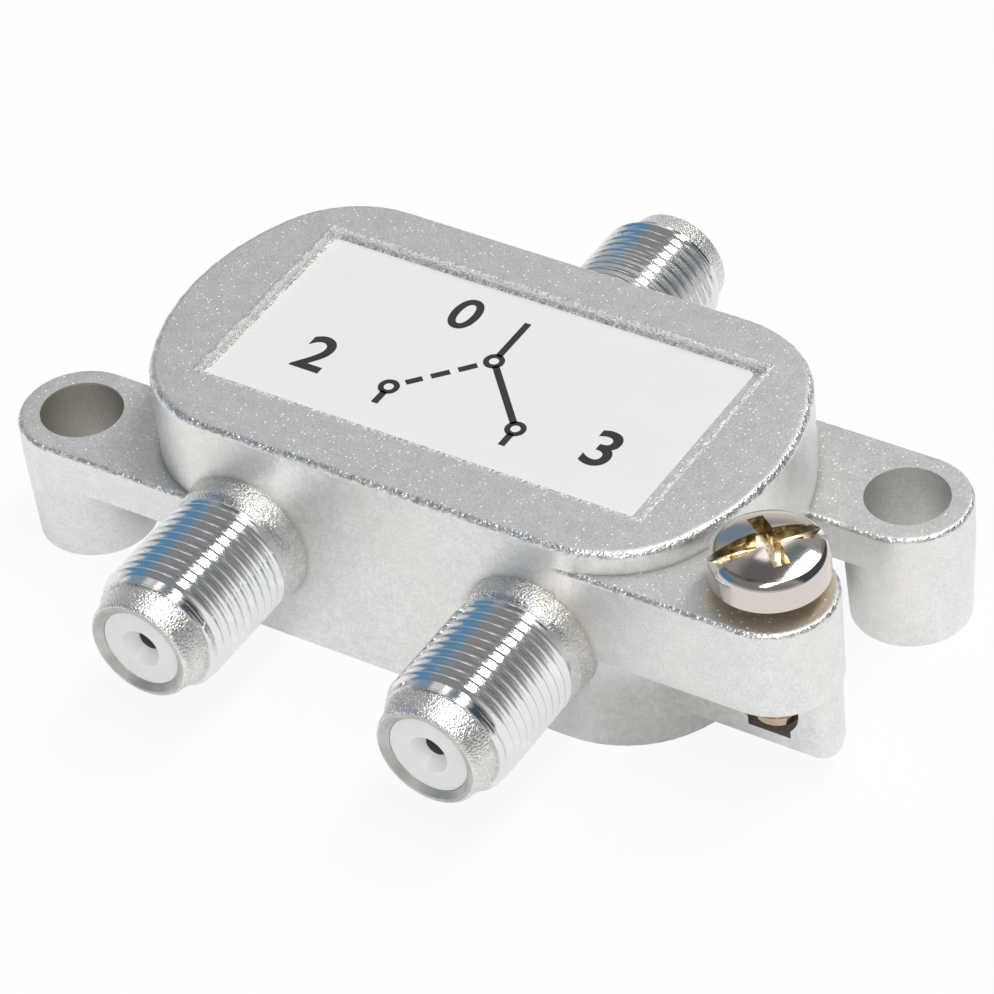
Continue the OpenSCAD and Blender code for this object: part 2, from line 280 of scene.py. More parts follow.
@dataclass(frozen=True)
class CastNickel:
    """Nickel-plated casting: cloudy satin walls, a grainy top darkened by painted shade and glittering
    edges, with painted glints, reflections and shade.
    """

    name: str = "cast_nickel"
    tone: Colour = (0.75, 0.75, 0.745)
    pale: Colour = (0.89, 0.89, 0.885)
    # sandy tones of level faces: their grain is real, their darkness painted shade
    sand_and_shade: tuple[Colour, Colour] = ((0.49, 0.49, 0.49), (0.62, 0.62, 0.62))
    sand_and_shade_share: float = 0.8
    warm: Colour = (0.87, 0.83, 0.74)
    warm_share: float = 0.35
    # painted reflections of dim surroundings, in dashes along rounded edges
    dim_reflection: Colour = (0.36, 0.36, 0.35)
    dim_reflection_share: float = 0.5
    # painted glints: near-white colour of grains and edge beads that catch the light
    bright: Colour = (0.98, 0.98, 0.97)
    # painted shade in creases, where faces of the casting close in
    crease_shade: Colour = (0.36, 0.35, 0.33)
    crease_shade_reach: float = 1.2
    crease_shade_share: float = 0.8
    shade: Colour = (0.5, 0.5, 0.49)
    shade_reach: float = 7.0
    shade_share: float = 0.7
    shaded_half: tuple[float, float] = (23.5, 25.0)
    shaded_top: tuple[float, float] = (15.0, 15.6)
    roughness: tuple[float, float] = (0.36, 0.48)
    level_up: tuple[float, float] = (0.85, 0.97)
    edge_up: tuple[float, float] = (0.12, 0.4)
    # cells of the painted glints in each millimetre
    glint_specks: float = 3.2
    relief: float = 0.05
    recess_middle: tuple[float, float] = (0.0, 0.4)
    recess_half: tuple[float, float] = (17.35, 8.6)
    recess_floor: tuple[float, float] = (15.9, 16.05)
    recess_border: tuple[float, float] = (0.12, 0.4)
    # painted shade inside the ears' holes, with a brown tint
    hole_shade: Colour = (0.42, 0.38, 0.30)
    holes: tuple[tuple[float, float, float], ...] = ((-27.75, -8.6, 0.38), (27.75, 8.6, 0.03))
    hole_radius: tuple[float, float] = (2.97, 3.07)
    hole_top: tuple[float, float] = (9.4, 9.7)
    # painted shadow and reflection of the screw head, brown, on the lug's top
    stain_and_reflection: Colour = (0.62, 0.50, 0.32)
    head_reflection_middle: tuple[float, float] = SCREW_AXIS
    head_reflection_reach: tuple[float, float] = (3.7, 4.5)
    head_reflection_floor: tuple[float, float] = (14.4, 14.8)
    head_reflection_share: float = 0.7
    # painted shadow of the lug on the wall below it
    lug_shadow_middle: tuple[float, float] = (20.5, -11.0)
    lug_shadow_reach: tuple[float, float] = (3.0, 10.0)
    lug_shadow_height: tuple[float, float] = (4.0, 10.0)

    def recess_edge(self, graph: Graph, place: Wire) -> Wire:
        """Mask along the border of the label recess.

        Args:
            graph: the material's graph.
            place: place on the piece in millimetres.

        Returns:
            1 at the border and 0 away from it.
        """
        x, y, z = graph.axes(place)
        across = abs(x - self.recess_middle[0]) - self.recess_half[0]
        along = abs(y - self.recess_middle[1]) - self.recess_half[1]
        away = abs(across.most(along))
        return (1 - away.rise(*self.recess_border)) * z.rise(*self.recess_floor)

    def openness(self, graph: Graph, reach: float) -> Wire:
        """How free a surface is of other surfaces of its piece within a reach in millimetres."""
        settings = {"samples": 8, "only_local": True}
        return graph.node("ShaderNodeAmbientOcclusion", settings, {"Distance": reach * MM}, "AO")

    def worn_and_shaded(self, graph: Graph, place: Wire, tone: Wire) -> Wire:
        """Paints shade inside the ears' holes, the lug's shadow on the wall below it and the screw head's
        shadow and reflection on the lug round its screw.

        Args:
            graph: the material's graph.
            place: place on the piece in millimetres.
            tone: the plating's own colour.

        Returns:
            The colour with its painted shade, shadows and reflection.
        """
        _, _, z = graph.axes(place)
        below = 1 - z.rise(*self.hole_top)
        # painted shade with a brown tint inside the ears' holes, deep in the left and faint in the right
        for x, y, share in self.holes:
            inner = 1 - graph.reach(place, (x, y)).rise(*self.hole_radius)
            tone = graph.blend(tone, self.hole_shade, inner * below * share)
        # painted shadow of the lug, in patches, on the wall below it
        under = 1 - graph.reach(place, self.lug_shadow_middle).rise(*self.lug_shadow_reach)
        patchy = graph.noise(place, 1.8, 4.0, 0.65).span(0.3, 1.5).least(1.0)
        tone = graph.blend(tone, self.shade, under * (1 - z.rise(*self.lug_shadow_height)) * patchy)
        # painted shadow and reflection of the screw head on the lug's top round the screw
        near = 1 - graph.reach(place, self.head_reflection_middle).rise(*self.head_reflection_reach)
        return graph.blend(tone, self.stain_and_reflection, near * z.rise(*self.head_reflection_floor) * self.head_reflection_share)

    def colour(self, graph: Graph, place: Wire, level: Wire, edge: Wire, glint_speck: Wire) -> Wire:
        """Colour of the plating, with painted shade, painted glints and painted reflections.

        Args:
            graph: the material's graph.
            place: place on the piece in millimetres.
            level: 1 on level faces.
            edge: 1 on rounded outer edges.
            glint_speck: 1 on painted glints, grains and edge beads painted near white.

        Returns:
            The colour.
        """
        cloud = graph.noise(place, 0.9, 5.0, 0.7)
        warmth = graph.noise(place, 0.12, 2.0).rise(0.5, 0.66) * (1 - level)
        _, reflection_dash, _ = graph.axes(graph.cells(place, 2.6, "Color"))
        grain = (cloud * 0.35 + graph.noise(place, 5.5, 3.0, 0.65) * 0.65).rise(0.36, 0.64)
        tone = graph.blend(self.tone, self.pale, grain)
        tone = graph.blend(tone, self.warm, warmth * self.warm_share)
        # level faces get sandy tones, their grain real and their darkness painted shade
        tone = graph.blend(tone, graph.blend(*self.sand_and_shade, grain), level * self.sand_and_shade_share)
        x, _, z = graph.axes(place)
        body = (1 - abs(x).rise(*self.shaded_half)) * (1 - z.rise(*self.shaded_top))
        # painted shade from ambient occlusion: broad shade in nooks, deeper shade in creases
        nook = 1 - self.openness(graph, self.shade_reach).rise(0.2, 0.75)
        tone = graph.blend(tone, self.shade, nook * body * self.shade_share)
        crease_shade_mask = 1 - self.openness(graph, self.crease_shade_reach).rise(0.35, 0.8)
        tone = graph.blend(tone, self.crease_shade, crease_shade_mask * body * self.crease_shade_share)
        tone = self.worn_and_shaded(graph, place, tone)
        # painted reflections of dim surroundings, in dashes along the rounded edges
        tone = graph.blend(tone, self.dim_reflection, edge * reflection_dash.rise(0.55, 0.7) * self.dim_reflection_share)
        # painted glints in near white
        return graph.blend(tone, self.bright, glint_speck)

    def build(self) -> bpy.types.Material:
        """Makes the material.

        Returns:
            The material.
        """
        material, graph = new_graph(self.name)
        place = graph.place()
        _, _, up = graph.axes(graph.node("ShaderNodeNewGeometry", out="Normal"))
        level = up.rise(*self.level_up)
        rounded = up.rise(*self.edge_up) * (1 - level)
        border = self.recess_edge(graph, place)
        edge = rounded.most(border)
        chance, _, _ = graph.axes(graph.cells(place, self.glint_specks, "Color"))
        spot = 1 - graph.cells(place, self.glint_specks).rise(0.1, 0.32)
        # painted glints on level grains, rounded edges and the recess border, over a real bump
        glint_speck = (chance.rise(0.62, 0.78) * level + edge * 0.9).least(1.0) * spot
        glint_speck = glint_speck.most(border * graph.noise(place, 3.0, 2.0).rise(0.42, 0.62) * 0.5)
        grain = graph.noise(place, 5.5, 3.0, 0.6)
        beads = graph.cells(place, 4.2)
        rough = graph.noise(place, 0.35, 3.0).span(*self.roughness)
        rough = rough + level * 0.2 - glint_speck * 0.24 - edge * 0.05
        height = grain * 0.6 + (1 - beads) * (edge * 1.1 + 0.12) + glint_speck * 0.5
        graph.surface(
            Base_Color=self.colour(graph, place, level, rounded, glint_speck),
            Metallic=1 - glint_speck * 0.8,
            Roughness=rough,
            Normal=graph.bump(height, self.relief, 0.9),
        )
        return material


@dataclass(frozen=True)
class SparklingNickel:
    """Bright coarse grains in the plating of a port's collar and nose."""

    name: str = "sparkling_nickel"
    tone: Colour = (0.75, 0.75, 0.75)
    gold: Colour = (0.90, 0.85, 0.74)
    roughness: tuple[float, float] = (0.18, 0.36)
    relief: float = 0.07

    def build(self) -> bpy.types.Material:
        """Makes the material.

        Returns:
            The material.
        """
        material, graph = new_graph(self.name)
        place = graph.place()
        grains = graph.cells(place, 6.0)
        lumps = graph.noise(place, 7.5, 3.0, 0.65)
        chance, _, _ = graph.axes(graph.cells(place, 3.2, "Color"))
        graph.surface(
            Base_Color=graph.blend(self.tone, self.gold, chance.rise(0.62, 0.8) * 0.8),
            Metallic=1.0,
            Roughness=lumps.span(*self.roughness),
            Normal=graph.bump((1 - grains) * 0.7 + lumps * 0.6, self.relief, 0.9),
        )
        return material


@dataclass(frozen=True)
class BrightThread:
    """Smooth bright plating on the port threads."""

    name: str = "bright_thread"
    tone: Colour = (0.80, 0.81, 0.82)
    pale: Colour = (0.9, 0.9, 0.9)
    roughness: tuple[float, float] = (0.06, 0.17)

    def build(self) -> bpy.types.Material:
        """Makes the material.

        Returns:
            The material.
        """
        material, graph = new_graph(self.name)
        place = graph.place()
        smear = graph.noise(place, 0.8, 3.0)
        grain = graph.noise(place, 7.0, 2.0)
        graph.surface(
            Base_Color=graph.blend(self.tone, self.pale, smear.rise(0.5, 0.8)),
            Metallic=1.0,
            Roughness=smear.span(*self.roughness),
            Normal=graph.bump(grain, 0.008, 0.6),
        )
        return material


@dataclass(frozen=True)
class ScrewNickel:
    """Polished nickel with a warm tint, golden in the driver's recess."""

    name: str = "screw_nickel"
    tone: Colour = (0.68, 0.63, 0.59)
    shank: Colour = (0.56, 0.41, 0.28)
    shank_top: tuple[float, float] = (10.0, 11.0)
    black: Colour = (0.06, 0.05, 0.045)
    black_reach: tuple[float, float] = (1.6, 3.0)
    brown: Colour = (0.40, 0.31, 0.21)
    gold: Colour = (0.95, 0.84, 0.63)
    axis: tuple[float, float] = SCREW_AXIS
    recess_radius: tuple[float, float] = (3.4, 3.6)
    recess_top: tuple[float, float] = (18.8, 18.9)
    head_foot: tuple[float, float] = (16.7, 16.8)
    roughness: tuple[float, float] = (0.06, 0.14)

    def recess(self, graph: Graph, place: Wire) -> Wire:
        """Mask of the slot and the cross in the head.

        Args:
            graph: the material's graph.
            place: place on the piece in millimetres.

        Returns:
            1 in the recess and 0 elsewhere.
        """
        _, _, z = graph.axes(place)
        near = 1 - graph.reach(place, self.axis).rise(*self.recess_radius)
        return near * z.rise(*self.head_foot) * (1 - z.rise(*self.recess_top))

    def build(self) -> bpy.types.Material:
        """Makes the material.

        Returns:
            The material.
        """
        material, graph = new_graph(self.name)
        place = graph.place()
        stain_and_reflection = graph.noise(place, 1.4, 3.0)
        scratch = graph.noise(place, 9.0, 2.0)
        inner = self.recess(graph, place)
        _, _, z = graph.axes(place)
        tone = graph.blend(self.tone, self.brown, stain_and_reflection.rise(0.6, 0.85) * 0.3)
        tone = graph.blend(self.shank, tone, z.rise(*self.shank_top))
        gilt = graph.blend(self.gold, self.brown, stain_and_reflection.rise(0.48, 0.66))
        gilt = graph.blend(gilt, self.black, graph.reach(place, self.axis).rise(*self.black_reach) * 0.6)
        graph.surface(
            Base_Color=graph.blend(tone, gilt, inner),
            Metallic=1.0,
            Roughness=stain_and_reflection.span(*self.roughness) + inner * 0.1,
            Normal=graph.bump(scratch, 0.004, 0.5),
        )
        return material


@dataclass(frozen=True)
class StickerPaper:
    """White sticker with a faint cool tint and a soft sheen."""

    name: str = "sticker_paper"
    tone: Colour = (0.755, 0.755, 0.765)
    pale: Colour = (0.78, 0.78, 0.79)
    roughness: tuple[float, float] = (0.38, 0.55)

    def build(self) -> bpy.types.Material:
        """Makes the material.

        Returns:
            The material.
        """
        material, graph = new_graph(self.name)
        place = graph.place()
        cloud = graph.noise(place, 0.3, 2.0)
        fibre = graph.noise(place, 8.0, 3.0, 0.6)
        graph.surface(
            Base_Color=graph.blend(self.tone, self.pale, cloud),
            Roughness=fibre.span(*self.roughness),
            Normal=graph.bump(fibre, 0.006, 0.5),
        )
        return material


@dataclass(frozen=True)
class Grained:
    """Plain finish with a grain in its colour, gloss and relief."""

    name: str
    tone: Colour
    second: Colour
    roughness: tuple[float, float]
    metallic: float = 0.0
    grain: float = 4.0
    depth: float = 0.01

    def build(self) -> bpy.types.Material:
        """Makes the material.

        Returns:
            The material.
        """
        material, graph = new_graph(self.name)
        place = graph.place()
        grain = graph.noise(place, self.grain, 3.0)
        cloud = graph.noise(place, self.grain * 0.15, 2.0)
        graph.surface(
            Base_Color=graph.blend(self.tone, self.second, cloud.rise(0.3, 0.7)),
            Metallic=self.metallic,
            Roughness=grain.span(*self.roughness),
            Normal=graph.bump(grain, self.depth, 0.6),
        )
        return material


class Finish(Enum):
    """Finishes of the pieces."""

    CASTING = CastNickel()
    THREAD = BrightThread()
    SPARKLE = SparklingNickel()
    SCREW = ScrewNickel()
    STICKER = StickerPaper()
    INK = Grained("black_ink", (0.012, 0.012, 0.013), (0.02, 0.02, 0.022), (0.4, 0.55))
    INSULATOR = Grained("white_plastic", (0.86, 0.86, 0.87), (0.9, 0.9, 0.9), (0.3, 0.42), grain=2.0)
    THROAT = Grained("shaded_throat", (0.22, 0.175, 0.14), (0.15, 0.12, 0.095), (0.4, 0.6), grain=3.0)
    RIM = Grained("worn_rim", (0.50, 0.49, 0.46), (0.62, 0.61, 0.58), (0.4, 0.55), 1.0, 5.0, 0.012)
    TINPLATE = Grained("tinplate", (0.66, 0.66, 0.65), (0.74, 0.74, 0.73), (0.25, 0.42), 1.0, 1.5)
    BRONZE = Grained("spring_bronze", (0.75, 0.58, 0.28), (0.68, 0.5, 0.24), (0.2, 0.35), 1.0)
    BOARD = Grained("solder_resist", (0.05, 0.24, 0.10), (0.07, 0.29, 0.13), (0.3, 0.5), grain=3.0)
    FERRITE = Grained("ferrite", (0.045, 0.045, 0.05), (0.07, 0.07, 0.075), (0.5, 0.7))
    COPPER = Grained("enamelled_wire", (0.55, 0.22, 0.08), (0.42, 0.15, 0.05), (0.25, 0.4), 1.0, 6.0, 0.03)
    CAN = Grained("drawn_can", (0.72, 0.72, 0.73), (0.78, 0.78, 0.78), (0.25, 0.4), 1.0)
    PACKAGE = Grained("black_package", (0.022, 0.022, 0.024), (0.035, 0.035, 0.037), (0.45, 0.65))
    CERAMIC = Grained("tan_ceramic", (0.42, 0.29, 0.16), (0.5, 0.36, 0.22), (0.35, 0.5))


class Finishes:
    """Materials that have been made, one for each finish."""

    def __init__(self) -> None:
        """Starts with no material made."""
        self.made: dict[Finish, bpy.types.Material] = {}

    def of(self, finish: Finish) -> bpy.types.Material:
        """The material of a finish, made at its first use."""
        if finish not in self.made:
            self.made[finish] = finish.value.build()
        return self.made[finish]


def new_piece(shape: bmesh.types.BMesh, name: str, sharp: float = 30.0) -> bpy.types.Object:
    """Turns a shape into an object of the scene with smooth faces and sharp edges.

    Args:
        shape: the finished shape, in metres, which is freed.
        name: the object's name.
        sharp: least angle of a sharp edge, in degrees.

    Returns:
        The object.
    """
    mesh = bpy.data.meshes.new(name)
    shape.to_mesh(mesh)
    shape.free()
    if "custom_normal" in mesh.attributes:
        mesh.attributes.remove(mesh.attributes["custom_normal"])
    mesh.shade_smooth()
    mesh.set_sharp_from_angle(angle=math.radians(sharp))
    piece = bpy.data.objects.new(name, mesh)
    bpy.context.scene.collection.objects.link(piece)
    return piece


def solid_of(node: str) -> bmesh.types.BMesh:
    """Copies a solid's mesh with its loose triangles joined.

    Args:
        node: name of the solid.

    Returns:
        The joined copy.
    """
    shape = bmesh.new()
    shape.from_mesh(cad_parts[node].data)
    bmesh.ops.remove_doubles(shape, verts=shape.verts, dist=JOIN)
    return shape


def even_normals(piece: bpy.types.Object) -> None:
    """Lets large faces keep their direction next to small rounded ones."""
    modifier = piece.modifiers.new("even_normals", "WEIGHTED_NORMAL")
    modifier.keep_sharp = True


def dress(piece: bpy.types.Object, materials: Sequence[bpy.types.Material]) -> None:
    """Gives a piece its materials in place of any it has.

    Args:
        piece: the piece, whose faces keep their material numbers if it has no material yet.
        materials: the materials in the order of these numbers.
    """
    if piece.data.materials:
        piece.data.materials.clear()
    for material in materials:
        piece.data.materials.append(material)


@dataclass
class Helix:
    """Ridge of a right-hand thread along +Z, starting at the origin."""

    major: float
    root: float
    pitch: float
    length: float
    steps: int = 64
    fade: float = 0.6
    sunk: float = 0.04
    half_width: float = 0.48
    fullness: float = 0.8
    half_points: int = 6

    def profile(self) -> list[tuple[float, float]]:
        """Points of the ridge's section as radius and height, in millimetres.

        Returns:
            The points, from one foot over the crest to the other.
        """
        half = self.half_width * self.pitch
        rise = self.major - self.root
        wave = []
        for step in range(-self.half_points, self.half_points + 1):
            part = step / self.half_points
            crest = (0.5 + 0.5 * math.cos(math.pi * part)) ** self.fullness
            wave.append((self.root + rise * crest, half * part))
        low = self.root - self.sunk
        return [(low, -half), *wave, (low, half)]

    def turn_of(self, place: Vector) -> float:
        """Turns from the start to a point of the ridge."""
        angle = math.atan2(place.y, place.x) / (2 * math.pi)
        return angle + round(place.z / (self.pitch * MM) - angle)

    def build(self) -> bmesh.types.BMesh:
        """Spins the ridge and lets it run out at both ends.

        Returns:
            The closed ridge, in metres.
        """
        shape = bmesh.new()
        ring = [shape.verts.new((r * MM, 0.0, z * MM)) for r, z in self.profile()]
        loop = [shape.edges.new((a, b)) for a, b in zip(ring, ring[1:] + ring[:1])]
        turns = self.length / self.pitch
        count = round(turns * self.steps)
        bmesh.ops.spin(
            shape,
            geom=ring + loop,
            cent=(0, 0, 0),
            axis=(0, 0, 1),
            dvec=(0, 0, self.length * MM / count),
            angle=2 * math.pi * turns,
            steps=count,
        )
        bmesh.ops.holes_fill(shape, edges=[e for e in shape.edges if e.is_boundary], sides=0)
        low = (self.root - self.sunk) * MM
        for vert in shape.verts:
            turn = self.turn_of(vert.co)
            share = max(0.0, min(1.0, turn / self.fade, (turns - turn) / self.fade))
            reach = vert.co.xy.length
            kept = low + (reach - low) * share * share * (3 - 2 * share)
            vert.co.x *= kept / reach
            vert.co.y *= kept / reach
        bmesh.ops.recalc_face_normals(shape, faces=shape.faces)
        return shape


@dataclass(frozen=True)
class Port:
    """One coaxial port: where it stands and the size of its thread, in millimetres."""

    name: str
    x: float
    side: int
    wall: float = 13.0
    height: float = 8.1
    major: float = 4.7625
    root: float = 4.3825
    pitch: float = 0.79375
    start: float = 1.5
    end: float = 11.0
    mouth: float = 12.5
    rim: float = 3.6
    collar: float = 5.0
    slack: float = 0.02
    run_in: float = 0.4
    run_out: float = 0.25

    def matrix(self) -> Matrix:
        """Turns a thread along +Z into the port's direction and place."""
        turn = Matrix.Rotation(math.radians(-90 * self.side), 4, "X")
        return Matrix.Translation(Vector((self.x, self.side * self.wall, self.height)) * MM) @ turn

    def along(self, place: Vector) -> tuple[float, float]:
        """Distance from the wall and from the axis, in millimetres."""
        reach = math.hypot(place.x / MM - self.x, place.z / MM - self.height)
        return self.side * place.y / MM - self.wall, reach

    def holds(self, place: Vector) -> bool:
        """Whether a point lies on the solid's closed ridges, which stand for the thread."""
        out, reach = self.along(place)
        threaded = self.start - self.slack / 2 < out < self.end + self.slack / 2
        return threaded and self.root - self.slack < reach < self.major + self.slack

    def sparkles(self, place: Vector) -> bool:
        """Whether a point lies on the collar or on the outside of the nose."""
        out, reach = self.along(place)
        beside = 0.0 < out < self.start + self.slack / 2 or out > self.end - self.slack / 2
        return beside and self.rim < reach < self.collar

    def worn_and_shaded(self, place: Vector) -> bool:
        """Whether a point lies on the rim's end or in the mouth."""
        out, reach = self.along(place)
        return out > self.mouth and reach < self.rim

    def neck(self, vert: bmesh.types.BMVert) -> None:
        """Draws a point of the ridges in to the thread's root."""
        _, reach = self.along(vert.co)
        share = self.root / reach
        vert.co.x = self.x * MM + (vert.co.x - self.x * MM) * share
        vert.co.z = self.height * MM + (vert.co.z - self.height * MM) * share

    def thread(self) -> bmesh.types.BMesh:
        """Helical ridge of the port.

        Returns:
            The ridge in its place.
        """
        length = self.end - self.start - (self.run_in + self.run_out) * self.pitch
        shape = Helix(self.major, self.root, self.pitch, length).build()
        lift = Matrix.Translation((0, 0, (self.start + self.run_in * self.pitch) * MM))
        bmesh.ops.transform(shape, matrix=self.matrix() @ lift, verts=shape.verts)
        return shape


PORTS = (Port("in", 0.0, 1), Port("out_1", -11.25, -1), Port("out_2", 11.25, -1))


@dataclass
class Casting:
    """Housing with its necked barrels and the threads on them."""

    finishes: Finishes
    ports: tuple[Port, ...] = PORTS
    looks: tuple[Finish, ...] = (Finish.CASTING, Finish.THREAD, Finish.SPARKLE, Finish.RIM)

    def build(self) -> list[bpy.types.Object]:
        """Makes the housing and its threads.

        Returns:
            The pieces.
        """
        pieces = [self.housing()]
        for port in self.ports:
            piece = new_piece(port.thread(), f"port_thread_{port.name}", THREAD_SHARP)
            dress(piece, [self.finishes.of(Finish.THREAD)])
            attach(piece, BOX)
            pieces.append(piece)
        return pieces

    def housing(self) -> bpy.types.Object:
        """Copies the casting with its barrels drawn in to the threads' roots.

        Returns:
            The piece.
        """
        shape = solid_of("housing")
        for port in self.ports:
            ring = {vert for vert in shape.verts if port.holds(vert.co)}
            for face in shape.faces:
                if all(vert in ring for vert in face.verts):
                    face.material_index = self.looks.index(Finish.THREAD)
                elif port.sparkles(face.calc_center_median()):
                    face.material_index = self.looks.index(Finish.SPARKLE)
                elif port.worn_and_shaded(face.calc_center_median()):
                    face.material_index = self.looks.index(Finish.RIM)
            for vert in ring:
                port.neck(vert)
        piece = new_piece(shape, "housing_casting")
        even_normals(piece)
        dress(piece, [self.finishes.of(finish) for finish in self.looks])
        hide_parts("housing")
        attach(piece, BOX)
        return piece


@dataclass
class GroundScrew:
    """Screw of the ground terminal, with its thread. Sizes in millimetres."""

    finishes: Finishes
    axis: tuple[float, float] = SCREW_AXIS
    head_z: float = 16.6
    major: float = 2.0
    root: float = 1.62
    pitch: float = 0.7
    length: float = 12.0
    run_in: float = 0.35
    run_out: float = 0.55
    turn_steps: int = 48
    dome_radius: float = 8.0
    dome_z: float = 11.6
    dome_facing: float = 0.985
    slack: float = 0.02
    flat_angle: float = 0.5
    edge_angle: float = 40.0
    edge_foot: float = 0.5
    edge_width: float = 0.1

    def build(self) -> list[bpy.types.Object]:
        """Makes the screw and its thread.

        Returns:
            The pieces.
        """
        length = self.length - self.run_in - self.run_out
        thread = Helix(self.major, self.root, self.pitch, length, self.turn_steps).build()
        foot = Vector((*self.axis, self.head_z - self.length + self.run_in)) * MM
        bmesh.ops.transform(thread, matrix=Matrix.Translation(foot), verts=thread.verts)
        pieces = [self.body(), new_piece(thread, "ground_screw_thread", THREAD_SHARP)]
        for piece in pieces:
            dress(piece, [self.finishes.of(Finish.SCREW)])
            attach(piece, SCREW)
        return pieces

    def body(self) -> bpy.types.Object:
        """Copies the screw with its shank drawn in and its edges softened.

        Returns:
            The piece.
        """
        shape = solid_of("ground_screw")
        middle = Vector(self.axis) * MM
        for vert in shape.verts:
            away = vert.co.xy - middle
            below = vert.co.z < (self.head_z + self.slack / 2) * MM
            if below and self.root * MM < away.length < (self.major + self.slack) * MM:
                vert.co.xy = middle + away * (self.root * MM / away.length)
        flat = math.radians(self.flat_angle)
        bmesh.ops.dissolve_limit(shape, angle_limit=flat, verts=shape.verts, edges=shape.edges)
        edges = [
            edge
            for edge in shape.edges
            if len(edge.link_faces) == 2
            and edge.calc_face_angle() > math.radians(self.edge_angle)
            and min(vert.co.z for vert in edge.verts) > (self.head_z + self.edge_foot) * MM
        ]
        bmesh.ops.bevel(
            shape,
            geom=edges,
            offset=self.edge_width * MM,
            offset_type="OFFSET",
            segments=2,
            profile=0.5,
            affect="EDGES",
            clamp_overlap=True,
            material=-1,
        )
        piece = new_piece(shape, "ground_screw_body", self.edge_angle)
        self.smooth_dome(piece.data)
        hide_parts("ground_screw")
        return piece

    def smooth_dome(self, mesh: bpy.types.Mesh) -> None:
        """Points the normals of the dome straight away from its middle.

        Args:
            mesh: the screw's mesh.
        """
        normals = [corner.vector.copy() for corner in mesh.corner_normals]
        middle = Vector((*self.axis, self.dome_z)) * MM
        for face in mesh.polygons:
            for corner in face.loop_indices:
                away = mesh.vertices[mesh.loops[corner].vertex_index].co - middle
                on_dome = abs(away.length - self.dome_radius * MM) < self.slack * MM
                if on_dome and away.normalized().dot(face.normal) > self.dome_facing:
                    normals[corner] = away.normalized()
        mesh.normals_split_custom_set(normals)


